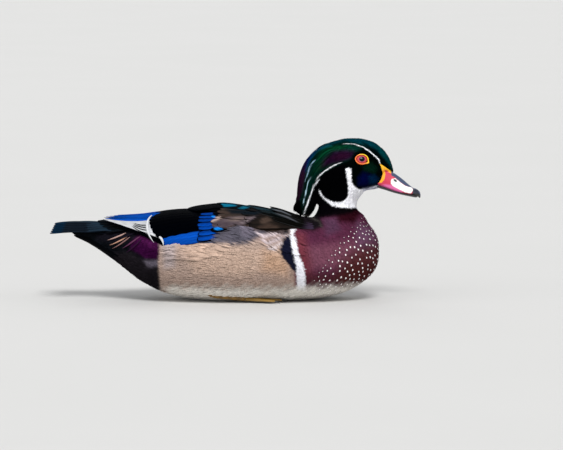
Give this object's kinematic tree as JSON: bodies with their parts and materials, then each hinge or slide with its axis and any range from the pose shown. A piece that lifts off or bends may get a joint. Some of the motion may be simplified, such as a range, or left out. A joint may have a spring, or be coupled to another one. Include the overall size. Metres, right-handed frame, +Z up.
{
  "type": "wood duck",
  "caption": "Life-size still model of a floating drake wood duck with a swept crest, folded wings and a long tail, resting on its belly.",
  "frame": {"origin": "on the floor, in the middle of the flat that the belly rests on", "axes": "+X towards the bill, +Y to the bird's left, +Z up"},
  "size_m": [0.3875, 0.132, 0.1695],
  "materials": {
    "breast": "chestnut breast feathers with white flecks, soft sheen",
    "flank": "buff flank feathers with fine dark barring, matt",
    "back": "bronze black feathers, soft sheen",
    "head": "iridescent green and purple head feathers, silky",
    "wing": "blue and black flight feathers, silky",
    "tail": "blue black tail feathers, silky",
    "bill": "horn, red with white, black and yellow, satin",
    "eye": "wet and glossy red iris",
    "feet": "scaled yellow skin with dark webs"
  },
  "bodies": {
    "root": {"torso": "flank", "neck": "breast", "head": "head", "crest": "head", "tail": "tail", "wing_left": "wing", "wing_right": "wing", "bill_upper": "bill", "bill_lower": "bill", "eye_left": "eye", "eye_right": "eye", "leg_left": "feet", "leg_right": "feet", "foot_left": "feet", "foot_right": "feet"}
  },
  "joints": []
}
